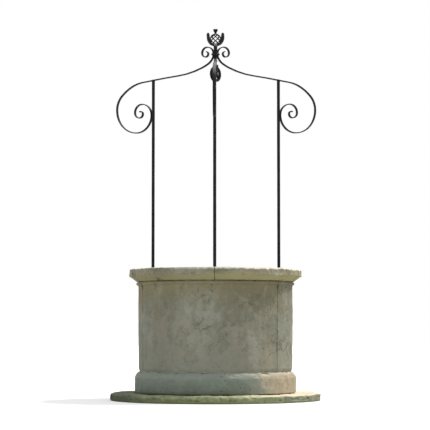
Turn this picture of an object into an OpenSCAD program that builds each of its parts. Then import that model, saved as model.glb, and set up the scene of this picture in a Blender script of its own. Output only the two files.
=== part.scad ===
// Garden well: a round stone wellhead on a slab, with a wrought-iron overthrow and a pulley.
// Millimetres, +Z up, origin on the shaft's axis at the underside of the slab, front towards -Y.

/* [Base slab] */
// Diameter of the round slab that the wellhead stands on
slab_d = 1400; // [1200:10:1600]
// Thickness of the slab
slab_t = 50; // [30:1:80]
// Rounding of the slab's upper rim
slab_round = 14; // [4:1:20]

/* [Plinth] */
// How far the plinth stands out from the wall's foot
plinth_out = 25; // [18:1:50]
// Height of the plinth stones
plinth_h = 135; // [100:1:200]
// Height of the plinth's shoulder
plinth_shoulder_h = 38; // [20:1:60]
// Fullness of the shoulder, from 0 for a flat slope to 1 for a quarter round
plinth_shoulder_full = 0.5; // [0:0.05:1]

/* [Wall] */
// Diameter of the wall at its foot
wall_foot_d = 1020; // [980:2:1060]
// Thickness of the wall at its foot
wall_t = 104; // [80:1:140]
// How far the wall stands back from the line of the open shaft, at the slab and at the coping
wall_setback = 6; // [2:1:20]
// How far the wall leans out from its foot to its moulding
wall_flare = 3; // [0:1:14]
// Height of the wall stones
wall_h = 586; // [400:1:700]
// Wear on the wall's lower edge, inwards
wall_foot_wear = 6; // [2:1:12]
// Height of the worn lower edge
wall_foot_wear_h = 18; // [8:1:30]
// How far the bead stands out from the wall's top
bead_out = 13; // [11.5:0.5:22]
// Height of the bead
bead_h = 22; // [14:1:30]
// Height of the cove below the bead
cove_h = 18; // [10:1:40]

/* [Coping] */
// How far the coping's face stands out beyond the wall's foot
coping_out = 63; // [50:1:90]
// Height of the coping stones
coping_h = 81; // [60:1:110]
// How far the coping's face stands out over the foot of its splay
splay_out = 49; // [30:1:60]
// Height of the splay under the coping's face
splay_h = 36; // [15:1:45]
// Wear on the coping's upper edges
arris_wear = 7; // [2:1:12]

/* [Mortar] */
// Thickness of the mortar beds
bed_t = 4; // [2:0.5:8]
// Width of the upright joints at the coping's face
joint_w = 5; // [3:0.5:10]
// How far the mortar lies behind the stone's face
mortar_recess = 5; // [2:0.5:12]

/* [Posts] */
// Diameter of the round iron posts
post_d = 21; // [16:0.5:26]
// How far the posts' middles stand in from the coping's face
post_inset = 78; // [60:1:110]
// Height of the post tops above the coping
post_rise = 1308; // [1000:5:1600]
// Depth of the post holes in the coping
socket_depth = 62; // [40:1:70]
// Diameter of the post holes
socket_d = 34; // [30:0.5:44]
// Diameter of the tenon that goes through the arm
tenon_d = 9; // [6:0.5:12]
// Diameter of the rivets that hold the scrolls to the posts
rivet_d = 6; // [4:0.5:8]

/* [Scroll arms] */
// How far the arm has left the stem where it turns outwards under the collar
throat_reach = 5; // [4:0.5:8]
// Depth of that place below the middle of the collar
throat_drop = 23; // [20:1:28]
// How far the arm has left the stem at its knee
knee_reach = 86; // [76:1:96]
// Depth of the arm's knee below the middle of the collar
knee_drop = 82; // [74:1:90]
// Width of the flat bar
bar_w = 20; // [14:0.5:26]
// Thickness of the flat bar
bar_t = 7; // [4:0.5:9]
// Slope of the arm where it crosses the post, in degrees
arm_slope = 6; // [2:0.5:8]
// Reach of the arm's shoulder beyond the post
shoulder_reach = 166; // [145:1:180]
// Depth of the arm's shoulder below the post top
shoulder_drop = 29; // [22:1:36]
// Radius of the big scroll's first quarter turn
scroll_r = 168; // [150:1:180]
// Share of its radius that each further quarter turn keeps
scroll_shrink = 0.69; // [0.66:0.01:0.72]
// Height of the big scroll's foot below the post top
scroll_drop = 355; // [340:1:380]
// Radius of the small top scroll's first quarter turn
curl_r = 38; // [32:1:42]
// Share of its radius that each further quarter turn of the small scroll keeps
curl_shrink = 0.73; // [0.68:0.01:0.78]
// Radius at which the small scroll's crown lies
curl_reach = 66; // [58:1:76]
// Height of the small scroll's crown above the middle of the collar
curl_rise = 54; // [46:1:62]

/* [Stem and collar] */
// Diameter of the round stem between the arms
stem_d = 25; // [22:0.5:30]
// Height of the collar's middle above the post tops
collar_rise = 140; // [132:1:150]
// Height of the half-round collar
collar_h = 14; // [8:0.5:20]
// Thickness of the half-round collar
collar_t = 7; // [4:0.5:10]
// Height of the stem's shoulder above the collar's middle
neck_rise = 43; // [38:1:56]
// Depth of the hanger eye's middle below the collar's middle
hanger_drop = 45; // [38:1:50]
// Height of the bead on the neck
neck_h = 12; // [8:0.5:18]

/* [Finial] */
// Diameter of the pierced ball
ball_d = 82; // [70:1:90]
// Wall of the pierced ball
ball_wall = 5; // [3:0.5:8]
// Width of the lattice bars between the ball's openings
lattice_w = 5; // [4:0.5:8]
// Radius of the cup that the leaves are cut from
cup_r = 72; // [62:1:80]
// Thickness of the leaves
leaf_t = 4; // [3:0.5:6]
// Width of a leaf
leaf_w = 28; // [20:1:34]
// Height of the leaf tips above the leaves' foot
leaf_h = 84; // [74:1:100]
// Height of the flared tuft on the ball
tuft_h = 30; // [22:1:40]
// Diameter of the tuft where it is widest
tuft_d = 34; // [28:1:40]

/* [Pulley] */
// Diameter of the grooved wheel
wheel_d = 103; // [90:1:108]
// Width of the wheel across its rim
wheel_w = 22; // [18:0.5:26]
// Depth of the rope groove
groove_depth = 11; // [8:0.5:12]
// Width of the rope groove at its mouth
groove_w = 16; // [13:0.5:17]
// Diameter of the axle
axle_d = 12; // [8:0.5:14]
// Gap between the wheel's hub and each cheek
cheek_gap = 2; // [1:0.5:4]
// Thickness of the fork's cheeks and crown
fork_t = 5; // [4:0.5:8]
// Width of the fork's strap
fork_w = 18; // [14:1:24]
// Room between the wheel's rim and the swivel's rivet head
rim_gap = 3; // [2:0.5:5]
// Diameter of the rod that both eyes are bent from
eye_rod_d = 8; // [6:0.5:9]
// Radius of the eyes' middle line
eye_r = 9; // [8.6:0.1:11]
// Diameter of the swivel's shank
shank_d = 9; // [7:0.5:12]
// Turn of the fork about the upright at rest, in degrees
fork_turn = -35; // [-90:1:90]

/* [Hidden] */
$fn = 96;

// Clearances
fit_gap = 0.1;
seat_gap = 0.3;
run_gap = 0.05;
bed_gap = 0.05;

// Stones in each course, and the bearing of each course's first joint
plinth_stones = 2;
wall_stones = 3;
coping_stones = 5;
plinth_joint_angle = 0;
wall_joint_angle = -38;
coping_joint_angle = -90;
arc_steps = 8;

// Bearings of the three posts and arms
front_angle = -90;
right_angle = 30;
left_angle = 150;

// Diameters of the stonework
wall_in_r = wall_foot_d / 2 - wall_t;
shaft_r = wall_in_r - wall_setback;
plinth_d = wall_foot_d + 2 * plinth_out;
coping_d = wall_foot_d + 2 * coping_out;
wall_top_d = wall_foot_d + 2 * wall_flare;
bead_d = wall_top_d + 2 * bead_out;
coping_foot_d = coping_d - 2 * splay_out;
post_circle_r = coping_d / 2 - post_inset;

// Levels of the stonework
plinth_z = slab_t + bed_t;
plinth_top = plinth_z + plinth_h;
wall_z = plinth_top + bed_t;
wall_top = wall_z + wall_h;
coping_z = wall_top + bed_t;
coping_top = coping_z + coping_h;
joint_angle = joint_w / (coping_d / 2) * 180 / PI;

// Levels of the ironwork
post_top = coping_top + post_rise;
collar_z = post_top + collar_rise;
collar_hold = collar_h / 2 + 1;
neck_z = collar_z + neck_rise;
arm_seat_r = stem_d / 2 + bar_t / 2 + fit_gap;
arm_corner_r = norm([arm_seat_r + bar_t / 2, bar_w / 2]);
collar_in_r = arm_corner_r + seat_gap;
scroll_touch_r = post_circle_r + post_d / 2 + bar_t / 2 + 2 * fit_gap;
scroll_foot_z = post_top - scroll_drop;
scroll_side_z = scroll_foot_z + scroll_r * scroll_shrink;
scroll_out = [scroll_touch_r + scroll_r * scroll_shrink + scroll_r, scroll_foot_z + scroll_r];
throat = [arm_seat_r + throat_reach, collar_z - throat_drop];
knee = [arm_seat_r + knee_reach, collar_z - knee_drop];
shoulder = [post_circle_r + shoulder_reach, post_top - shoulder_drop];
shoulder_slope = 24;
throat_slope = 62;
knee_slope = 21;
scroll_quarters = 8;
curl_quarters = 4;
scroll_last_turn = 40;
turn_step = 6;
rivet_cap_r = rivet_d / 2 + 3.5;
rivet_cap_h = 3;

// Levels and sizes of the finial
leaf_foot_z = neck_z + neck_h;
cup_z = leaf_foot_z + cup_r;
ball_r = ball_d / 2;
ball_z = leaf_foot_z + leaf_t + ball_r + 2 * fit_gap;
tuft_z = ball_z + ball_r + 2 * fit_gap;
spindle_r = stem_d / 2 - 4.5;
lattice_around = 7;
lattice_rise = 22;
leaf_count = 4;

// Levels and sizes of the pulley, worked down from the stem's eye
eye_rod_r = eye_rod_d / 2;
eye_out_r = eye_r + eye_rod_r;
hanger_z = collar_z - hanger_drop;
stem_foot_z = hanger_z + eye_out_r - 1.5;
swing_z = hanger_z - eye_r + eye_rod_d + seat_gap;
swivel_ring_z = swing_z - eye_r;
shoulder_h = 3;
shoulder_z = swivel_ring_z - eye_out_r + 1.5 - shoulder_h;
crown_top = shoulder_z - seat_gap;
crown_z = crown_top - fork_t - 1;
rivet_head_h = 4;
rivet_head_r = shank_d / 2 + 3.5;
rivet_head_z = crown_z - seat_gap - rivet_head_h;
wheel_r = wheel_d / 2;
wheel_z = rivet_head_z - rim_gap - wheel_r;
cheek_in = wheel_w / 2 + cheek_gap;
cheek_out = cheek_in + fork_t;
rim_t = groove_depth + 4.5;
bush_t = 3;
hub_r = axle_d / 2 + bush_t + 5;
spokes = 5;
spoke_turn = 45;
washer_t = 2.5;
axle_head_t = 4;
pin_d = 2.5;
pin_z = -cheek_out - washer_t - 2 * seat_gap - pin_d / 2;
axle_end_z = pin_z - pin_d / 2 - 2;

// A point on an arc drawn from p with heading h, r to its left (+) or right (-), after a turn
function arc_point(p, h, r, turn) =
    [p.x + r * (sin(h + turn) - sin(h)), p.y - r * (cos(h + turn) - cos(h)), h + turn];

// Points [x, y, heading] along the arc that leaves p with heading h and ends at q
function arc_to(p, h, q) =
    let (chord = atan2(q.y - p.y, q.x - p.x),
         half = (chord - h + 540) % 360 - 180,
         len = norm([q.x - p.x, q.y - p.y]),
         r = len / 2 / sin(half),
         n = max(2, ceil(abs(2 * half) / turn_step)))
    [for (i = [1:n]) arc_point(p, h, r, 2 * half * i / n)];

// Two arcs that join p (heading hp) to q (heading hq) without a kink
function double_arc(p, hp, q, hq) =
    let (tp = [cos(hp), sin(hp)],
         tq = [cos(hq), sin(hq)],
         v = [q.x - p.x, q.y - p.y],
         a = 2 * (1 - tp * tq),
         b = 2 * (v * (tp + tq)),
         d = (-b + sqrt(b * b + 4 * a * (v * v))) / (2 * a),
         m = ([p.x, p.y] + [q.x, q.y] + d * (tp - tq)) / 2,
         first = arc_to(p, hp, m))
    concat(first, arc_to(m, first[len(first) - 1][2], q));

// Quarter turns to the right, each with the given share of the last one's radius
function scroll(p, h, r, share, quarters, last_turn) =
    quarters == 0 ? [] :
    let (turn = quarters == 1 ? last_turn : 90,
         n = ceil(turn / turn_step),
         pts = [for (i = [1:n]) arc_point(p, h, -r, -turn * i / n)])
    concat(pts, scroll(pts[n - 1], h - turn, r * share, share, quarters - 1, last_turn));

function reversed(list) = [for (i = [len(list) - 1:-1:0]) list[i]];

// The middle line of one arm, from the small scroll's eye to the big scroll's eye
curl_start = [arm_seat_r, collar_z + collar_hold];
curl_crown = [curl_reach, collar_z + curl_rise];
arm_start = [arm_seat_r, collar_z - collar_hold];
post_crossing = [post_circle_r, post_top];
curl_line = concat([[curl_start.x, curl_start.y, 90]],
    double_arc(curl_start, 90, curl_crown, 0),
    scroll(curl_crown, 0, curl_r, curl_shrink, curl_quarters, 90));
arm_line = concat([[arm_start.x, arm_start.y, -90]],
    double_arc(arm_start, -90, throat, -throat_slope),
    double_arc(throat, -throat_slope, knee, -knee_slope),
    double_arc(knee, -knee_slope, post_crossing, -arm_slope),
    double_arc(post_crossing, -arm_slope, shoulder, -shoulder_slope),
    double_arc(shoulder, -shoulder_slope, scroll_out, -90),
    scroll(scroll_out, -90, scroll_r, scroll_shrink, scroll_quarters, scroll_last_turn));
bar_line = concat([for (p = reversed(curl_line)) [p.x, p.y, p[2] + 180]], arm_line);

// The outline of a bar of thickness t along a line of [x, y, heading] points
function beside(line, off) = [for (p = line) [p.x - off * sin(p[2]), p.y + off * cos(p[2])]];
function bar_outline(line, t) = concat(beside(line, t / 2), reversed(beside(line, -t / 2)));

// Profiles of the three courses, drawn back from the faces by b and carried down into the bed by d
function plinth_profile(b, d) =
    let (foot = wall_foot_d / 2 - wall_foot_wear + 1, face = plinth_d / 2,
         z = plinth_top - plinth_shoulder_h, full = plinth_shoulder_full)
    concat([[wall_in_r + b, plinth_z - d], [face - b, plinth_z - d]],
        [for (i = [0:arc_steps]) let (t = i / arc_steps, a = 90 * t)
            [foot - b + (face - foot) * ((1 - full) * (1 - t) + full * cos(a)),
                z + plinth_shoulder_h * ((1 - full) * t + full * sin(a))]],
        [[wall_in_r + b, plinth_top]]);

function wall_profile(b, d) =
    let (top_r = wall_top_d / 2, bead_r = bead_d / 2, bead_z = wall_top - bead_h,
         cove_w = bead_r - bead_h / 2 - top_r)
    concat([[wall_in_r + b, wall_z - d], [wall_foot_d / 2 - wall_foot_wear - b, wall_z - d],
            [wall_foot_d / 2 - b, wall_z + wall_foot_wear_h]],
        [for (i = [0:arc_steps]) let (a = 90 * i / arc_steps)
            [top_r + cove_w * (1 - cos(a)) - b, bead_z - cove_h * (1 - sin(a))]],
        [for (i = [0:arc_steps]) let (a = -90 + 180 * i / arc_steps)
            [bead_r - bead_h / 2 * (1 - cos(a)) - b, bead_z + bead_h / 2 * (1 + sin(a))]],
        [[wall_in_r + b, wall_top]]);

function coping_profile(b, d) =
    let (face = coping_d / 2, w = arris_wear)
    concat([[shaft_r + b, coping_z], [wall_in_r + b, coping_z - d], [coping_foot_d / 2 - b, coping_z - d],
            [face - b, coping_z + splay_h]],
        [for (i = [0:arc_steps]) let (a = 90 * i / arc_steps)
            [face - b - w * (1 - cos(a)), coping_top - w * (1 - sin(a))]],
        [for (i = [0:arc_steps]) let (a = 90 * i / arc_steps)
            [shaft_r + b + w * (1 - sin(a)), coping_top - w * (1 - cos(a))]]);

// Bearing of one upright joint in a course
function joint_angle_at(first, count, i) = first + 360 / count * i;

// One stone of a ring course, between two upright joints
module ring_stone(profile, count, joint_at, i) {
    rotate([0, 0, joint_angle_at(joint_at, count, i) + joint_angle / 2])
        rotate_extrude(angle = 360 / count - joint_angle) polygon(profile);
}

// The bed under a course of diameter d, with the upright joints between its stones
module course_mortar(profile, count, joint_at, z, d) {
    in_r = wall_in_r + 2 * mortar_recess;
    out_r = d / 2 - 2 * mortar_recess;
    fill_angle = joint_angle * (1 - 2 * bed_gap / joint_w);
    rotate_extrude() polygon([[in_r, z - bed_t + bed_gap], [out_r, z - bed_t + bed_gap],
        [out_r, z - bed_gap], [in_r, z - bed_gap]]);
    for (i = [0:count - 1])
        rotate([0, 0, joint_angle_at(joint_at, count, i) - fill_angle / 2])
            rotate_extrude(angle = fill_angle) polygon(profile);
}

module at_posts() {
    for (bearing = [front_angle, right_angle, left_angle])
        rotate([0, 0, bearing]) translate([post_circle_r, 0, 0]) children();
}

module post_sockets() {
    at_posts() translate([0, 0, coping_top - socket_depth]) cylinder(d = socket_d, h = socket_depth + 1);
}

module base_slab() {
    r = slab_d / 2;
    color("#8f9484")
    rotate_extrude() polygon(concat([[shaft_r, 0], [r - slab_round / 2, 0], [r, slab_round / 2]],
        [for (i = [0:arc_steps]) let (a = 90 * i / arc_steps)
            [r - slab_round * (1 - cos(a)), slab_t - slab_round * (1 - sin(a))]],
        [[shaft_r, slab_t]]));
}

module plinth_stone(i) {
    color("#8b8f80") ring_stone(plinth_profile(0, 0), plinth_stones, plinth_joint_angle, i);
}

module wall_stone(i) {
    color("#8e8b7b") ring_stone(wall_profile(0, 0), wall_stones, wall_joint_angle, i);
}

module coping_stone(i) {
    color("#918e7c") difference() {
        ring_stone(coping_profile(0, 0), coping_stones, coping_joint_angle, i);
        post_sockets();
    }
}

module plinth_mortar() {
    profile = plinth_profile(mortar_recess, bed_t / 2);
    color("#6f6d60") course_mortar(profile, plinth_stones, plinth_joint_angle, plinth_z, plinth_d);
}

module wall_mortar() {
    profile = wall_profile(mortar_recess, bed_t / 2);
    color("#6f6d60") course_mortar(profile, wall_stones, wall_joint_angle, wall_z, wall_foot_d);
}

module coping_mortar() {
    profile = coping_profile(mortar_recess, bed_t / 2);
    color("#6f6d60") difference() {
        course_mortar(profile, coping_stones, coping_joint_angle, coping_z, coping_foot_d);
        post_sockets();
    }
}

module post_leads() {
    color("#6b6c6c") at_posts() translate([0, 0, coping_top - socket_depth]) difference() {
        cylinder(d = socket_d - 2 * fit_gap, h = socket_depth);
        translate([0, 0, -1]) cylinder(d = post_d + 2 * fit_gap, h = socket_depth + 2);
    }
}

// All that lies above the arm's middle line by more than off, near the post's top
module above_arm(off) {
    translate([0, 0, post_top]) rotate([0, arm_slope, 0])
        translate([-post_d, -post_d, off]) cube(2 * post_d);
}

module post(bearing) {
    foot_z = coping_top - socket_depth;
    color("#1d1d1f") rotate([0, 0, bearing]) translate([post_circle_r, 0, 0]) difference() {
        union() {
            difference() {
                translate([0, 0, foot_z]) cylinder(d = post_d, h = post_top - foot_z);
                above_arm(-bar_t / 2 - seat_gap);
            }
            difference() {
                translate([0, 0, post_top - post_d]) cylinder(d = tenon_d, h = 1.5 * post_d);
                above_arm(bar_t / 2);
            }
        }
        translate([0, 0, scroll_side_z]) rotate([0, 90, 0]) cylinder(d = rivet_d + 2 * fit_gap, h = post_d);
    }
}

// A flat bar forged into a small scroll, an arm and a big scroll
module arm(bearing) {
    color("#222224") rotate([0, 0, bearing]) difference() {
        rotate([90, 0, 0]) translate([0, 0, -bar_w / 2])
            linear_extrude(height = bar_w) polygon(bar_outline(bar_line, bar_t));
        translate([post_circle_r, 0, post_top - 2 * bar_t])
            cylinder(d = tenon_d + 2 * fit_gap, h = 4 * bar_t);
        translate([post_circle_r, 0, scroll_side_z]) rotate([0, 90, 0])
            cylinder(d = rivet_d + 2 * fit_gap, h = post_d + 2 * bar_t);
    }
}

// Rivets that hold each big scroll to its post
module scroll_rivets() {
    curve_room = rivet_cap_r * rivet_cap_r / (2 * scroll_r * scroll_shrink * scroll_shrink);
    seat = scroll_touch_r - post_circle_r + bar_t / 2 + seat_gap + curve_room;
    color("#2a2a2c") at_posts() translate([0, 0, scroll_side_z]) rotate([0, 90, 0]) {
        translate([0, 0, seat_gap]) cylinder(d = rivet_d, h = seat);
        translate([0, 0, seat]) rotate_extrude() polygon(concat([[0, 0]],
            [for (i = [0:arc_steps]) let (a = 90 * i / arc_steps)
                [rivet_cap_r * cos(a), rivet_cap_h * sin(a)]]));
    }
}

// A ring bent from rod, standing in the plane square to X
module rod_eye() {
    rotate([0, 90, 0]) rotate_extrude() translate([eye_r, 0]) circle(d = eye_rod_d, $fn = 32);
}

// A rod between the arms, with the hanger eye at its foot and a tenon for the finial at its top
module stem() {
    color("#1d1d1f") {
        translate([0, 0, hanger_z]) rotate([0, 0, 90]) rod_eye();
        translate([0, 0, stem_foot_z]) cylinder(d = stem_d, h = neck_z - stem_foot_z);
        translate([0, 0, neck_z - 1]) cylinder(r = spindle_r, h = neck_h + leaf_t + 1);
    }
}

module arm_collar() {
    color("#1d1d1f") translate([0, 0, collar_z]) rotate_extrude() polygon(
        [for (i = [0:2 * arc_steps]) let (a = -90 + 90 * i / arc_steps)
            [collar_in_r + collar_t * cos(a), collar_h / 2 * sin(a)]]);
}

module neck_bead() {
    r = spindle_r + fit_gap;
    bulge = stem_d / 2 + 1 - r;
    color("#5a5b5c") translate([0, 0, neck_z + neck_h / 2]) rotate_extrude() polygon(
        [for (i = [0:2 * arc_steps]) let (a = -90 + 90 * i / arc_steps)
            [r + bulge * cos(a), neck_h / 2 * sin(a)]]);
}

// Four leaves cut from one cup, rising round the ball
module finial_leaves() {
    tip_z = leaf_h - leaf_w / 2;
    foot_w = 0.6 * leaf_w;
    color("#1d1d1f") difference() {
        intersection() {
            difference() {
                translate([0, 0, cup_z]) sphere(r = cup_r);
                translate([0, 0, cup_z]) sphere(r = cup_r - leaf_t);
            }
            union() {
                translate([0, 0, leaf_foot_z - 1]) cylinder(r = foot_w, h = cup_r / 2);
                for (i = [0:leaf_count - 1])
                    rotate([0, 0, 45 + 360 / leaf_count * i]) translate([0, 0, leaf_foot_z])
                        rotate([90, 0, 90]) linear_extrude(height = cup_r + 1) {
                            polygon([[-foot_w / 2, -1], [foot_w / 2, -1], [leaf_w / 2, tip_z / 2],
                                [leaf_w / 2, tip_z], [-leaf_w / 2, tip_z], [-leaf_w / 2, tip_z / 2]]);
                            translate([0, tip_z]) circle(d = leaf_w);
                        }
            }
        }
        translate([0, 0, leaf_foot_z - 1]) cylinder(r = spindle_r + fit_gap, h = cup_r / 2);
    }
}

// A diamond-shaped opening through the ball's wall at a latitude, between bars of the lattice
module diamond(lat) {
    half_w = ball_r * cos(lat) * sin(180 / lattice_around);
    half_h = ball_r * sin(lattice_rise);
    edge = norm([half_w, half_h]);
    w = half_w - lattice_w / 2 * edge / half_h;
    h = half_h - lattice_w / 2 * edge / half_w;
    rotate([90 - lat, 0, 90]) translate([0, 0, ball_r - 2 * ball_wall])
        linear_extrude(height = 3 * ball_wall) polygon([[w, 0], [0, h], [-w, 0], [0, -h]]);
}

module finial_ball() {
    color("#1d1d1f") translate([0, 0, ball_z]) difference() {
        rotate([0, 90, 0]) sphere(r = ball_r, $fn = 32);
        rotate([0, 90, 0]) sphere(r = ball_r - ball_wall, $fn = 32);
        for (row = [-2:2], i = [0:lattice_around - 1])
            rotate([0, 0, front_angle + 360 / lattice_around * (i + (row % 2 == 0 ? 0 : 0.5))])
                diamond(row * lattice_rise);
    }
}

module finial_tuft() {
    r = tuft_d / 2;
    neck_r = 0.4 * r;
    notches = 8;
    color("#1d1d1f") translate([0, 0, tuft_z]) difference() {
        rotate_extrude() polygon([[0, 0], [neck_r, 0], [neck_r, 0.12 * tuft_h], [0.62 * r, 0.28 * tuft_h],
            [r, 0.52 * tuft_h], [0.96 * r, 0.72 * tuft_h], [0.8 * r, tuft_h], [0, 0.86 * tuft_h]]);
        for (i = [0:notches - 1]) rotate([0, 0, 360 / notches * i])
            translate([0.55 * r, -1, 0.62 * tuft_h]) cube([r, 2, tuft_h]);
    }
}

// The pulley's upper eye, with a shank that turns in the fork's crown
module swivel_eye() {
    color("#26262a") {
        translate([0, 0, swivel_ring_z]) rod_eye();
        translate([0, 0, shoulder_z]) cylinder(r = shank_d / 2 + 2.5, h = shoulder_h);
        translate([0, 0, rivet_head_z + 1]) cylinder(d = shank_d, h = shoulder_z - rivet_head_z);
        translate([0, 0, rivet_head_z]) cylinder(r = rivet_head_r, h = rivet_head_h);
    }
}

// Turns children that are drawn along +X to lie along the axle
module along_axle() {
    translate([0, 0, wheel_z]) rotate([0, 0, fork_turn]) rotate([0, 90, 0]) children();
}

module pulley_fork() {
    cheek_end_r = axle_d / 2 + 6;
    crown_t = fork_t + 1;
    color("#26262a") difference() {
        union() {
            translate([0, 0, crown_z]) rotate([0, 0, fork_turn]) translate([-cheek_out, -fork_w / 2, 0])
                cube([2 * cheek_out, fork_w, crown_t]);
            for (side = [-1, 1]) {
                rotate([0, 0, fork_turn]) translate([side > 0 ? cheek_in : -cheek_out, -fork_w / 2, wheel_z])
                    cube([fork_t, fork_w, crown_z + 1 - wheel_z]);
                along_axle() translate([0, 0, side > 0 ? cheek_in : -cheek_out])
                    cylinder(r = cheek_end_r, h = fork_t);
            }
        }
        translate([0, 0, crown_z - 1]) cylinder(r = shank_d / 2 + run_gap, h = crown_t + 2);
        along_axle() translate([0, 0, -cheek_out - 1])
            cylinder(d = axle_d + 2 * fit_gap, h = 2 * cheek_out + 2);
    }
}

module axle() {
    head_z = cheek_out + seat_gap;
    color("#4a4a4d") along_axle() {
        difference() {
            translate([0, 0, axle_end_z]) cylinder(d = axle_d, h = head_z + 1 - axle_end_z);
            translate([0, 0, pin_z]) rotate([90, 0, 0])
                cylinder(d = pin_d + 2 * fit_gap, h = 2 * axle_d, center = true);
        }
        translate([0, 0, head_z]) cylinder(r = axle_d / 2 + 3, h = axle_head_t);
    }
}

module axle_washer() {
    color("#4a4a4d") along_axle() translate([0, 0, -cheek_out - seat_gap - washer_t]) difference() {
        cylinder(r = axle_d / 2 + 4, h = washer_t);
        translate([0, 0, -1]) cylinder(d = axle_d + 2 * fit_gap, h = washer_t + 2);
    }
}

// A pin through the axle's end, with its eye on one side
module split_pin() {
    reach = axle_d / 2 + 3;
    color("#4a4a4d") along_axle() translate([0, 0, pin_z]) {
        rotate([90, 0, 0]) cylinder(d = pin_d, h = 2 * reach, center = true);
        translate([0, reach + pin_d, 0]) rotate_extrude() translate([pin_d, 0]) circle(d = pin_d, $fn = 32);
    }
}

module pulley_wheel() {
    half = wheel_w / 2;
    mouth = groove_w / 2;
    bottom_r = 5;
    in_r = wheel_r - rim_t;
    centre = wheel_r - groove_depth + bottom_r;
    color("#1d1d1f") along_axle() {
        rotate_extrude() polygon(concat(
            [[in_r, -half + 4], [in_r + 3, -half], [wheel_r, -half], [wheel_r, -mouth]],
            [for (i = [0:2 * arc_steps]) let (a = -90 - 90 * i / arc_steps)
                [centre + bottom_r * cos(a), bottom_r * sin(a)]],
            [[wheel_r, mouth], [wheel_r, half], [in_r + 3, half], [in_r, half - 4]]));
        difference() {
            union() {
                translate([0, 0, -half]) cylinder(r = hub_r, h = wheel_w);
                for (i = [0:spokes - 1]) rotate([0, 0, spoke_turn + 360 / spokes * i])
                    translate([0, -5, -4]) cube([in_r + 1, 10, 8]);
            }
            translate([0, 0, -half - 1]) cylinder(r = axle_d / 2 + bush_t + fit_gap, h = wheel_w + 2);
        }
    }
}

module wheel_bush() {
    color("#a88a4a") along_axle() translate([0, 0, -wheel_w / 2 - 1]) difference() {
        cylinder(r = axle_d / 2 + bush_t, h = wheel_w + 2);
        translate([0, 0, -1]) cylinder(r = axle_d / 2 + run_gap, h = wheel_w + 4);
    }
}

module plinth_stone_1() plinth_stone(0);
module plinth_stone_2() plinth_stone(1);
module wall_stone_1() wall_stone(0);
module wall_stone_2() wall_stone(1);
module wall_stone_3() wall_stone(2);
module coping_stone_1() coping_stone(0);
module coping_stone_2() coping_stone(1);
module coping_stone_3() coping_stone(2);
module coping_stone_4() coping_stone(3);
module coping_stone_5() coping_stone(4);
module post_front() post(front_angle);
module post_right() post(right_angle);
module post_left() post(left_angle);
module arm_front() arm(front_angle);
module arm_right() arm(right_angle);
module arm_left() arm(left_angle);

base_slab();
plinth_stone_1();
plinth_stone_2();
wall_stone_1();
wall_stone_2();
wall_stone_3();
coping_stone_1();
coping_stone_2();
coping_stone_3();
coping_stone_4();
coping_stone_5();
plinth_mortar();
wall_mortar();
coping_mortar();
post_front();
post_right();
post_left();
post_leads();
arm_front();
arm_right();
arm_left();
scroll_rivets();
stem();
arm_collar();
neck_bead();
finial_leaves();
finial_ball();
finial_tuft();
swivel_eye();
pulley_fork();
axle();
axle_washer();
split_pin();
pulley_wheel();
wheel_bush();
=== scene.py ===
"""The looks of a round garden well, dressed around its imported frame. Metres, +Z up, front towards -Y."""

import math

import bpy
from mathutils import Matrix, Vector


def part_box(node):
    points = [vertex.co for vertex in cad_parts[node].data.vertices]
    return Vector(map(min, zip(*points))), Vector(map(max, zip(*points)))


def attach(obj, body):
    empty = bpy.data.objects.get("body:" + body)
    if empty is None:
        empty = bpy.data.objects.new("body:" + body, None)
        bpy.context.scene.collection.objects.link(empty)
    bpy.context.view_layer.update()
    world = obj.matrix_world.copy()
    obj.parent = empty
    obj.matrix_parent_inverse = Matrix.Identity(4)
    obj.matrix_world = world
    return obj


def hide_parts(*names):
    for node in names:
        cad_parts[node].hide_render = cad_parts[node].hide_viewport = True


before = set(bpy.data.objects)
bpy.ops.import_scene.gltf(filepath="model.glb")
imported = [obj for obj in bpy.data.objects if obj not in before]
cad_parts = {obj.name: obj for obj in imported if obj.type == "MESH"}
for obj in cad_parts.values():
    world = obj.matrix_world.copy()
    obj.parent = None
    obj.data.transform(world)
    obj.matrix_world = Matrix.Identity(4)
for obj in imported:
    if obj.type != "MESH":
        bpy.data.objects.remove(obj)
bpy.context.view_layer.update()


# View, floor and light
# A camera stands about 11.5 m in front, half a metre above the ground and a little to the right.
# The floor and the backdrop are plain and pale. Light is soft all round, with a warm sun on the right.

CAMERA_DISTANCE = 11.5
CAMERA_HEIGHT = 0.464
CAMERA_BEARING = 0.6
CAMERA_PITCH = 3.81
CAMERA_YAW = 0.0166
SENSOR_WIDTH = 36
FOCAL_PIXELS = 1725
PICTURE_PIXELS = 430
FLOOR_SIZE = 80
FLOOR_GLOW = 0.34
SKY_STRENGTH = 0.92
SUN_STRENGTH = 3.6
SUN_WIDTH = math.radians(6)
SUN_BEARING = 22
SUN_ELEVATION = 53


def paint(red, green, blue):
    """The linear colour of a screen colour from 0 to 255."""
    shares = [value / 255 for value in (red, green, blue)]
    return (*[s / 12.92 if s <= 0.04045 else ((s + 0.055) / 1.055) ** 2.4 for s in shares], 1)


def on_circle(radius, bearing):
    """The two coordinates at a bearing in degrees on a circle."""
    return radius * math.cos(math.radians(bearing)), radius * math.sin(math.radians(bearing))


def add_object(name, data):
    thing = bpy.data.objects.new(name, data)
    bpy.context.scene.collection.objects.link(thing)
    return thing


def add_shape(operator, name, **settings):
    """A new mesh from one of Blender's operators."""
    operator(**settings)
    bpy.context.object.name = name
    return bpy.context.object


def add_node(tree, kind, inputs=(), **settings):
    """Adds a shader node, sets its settings, and links or sets each of its inputs."""
    node = tree.nodes.new("ShaderNode" + kind)
    for key, value in settings.items():
        setattr(node, key, value)
    for key, value in dict(inputs).items():
        if isinstance(value, bpy.types.NodeSocket):
            tree.links.new(value, node.inputs[key])
        else:
            node.inputs[key].default_value = value
    return node


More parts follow.
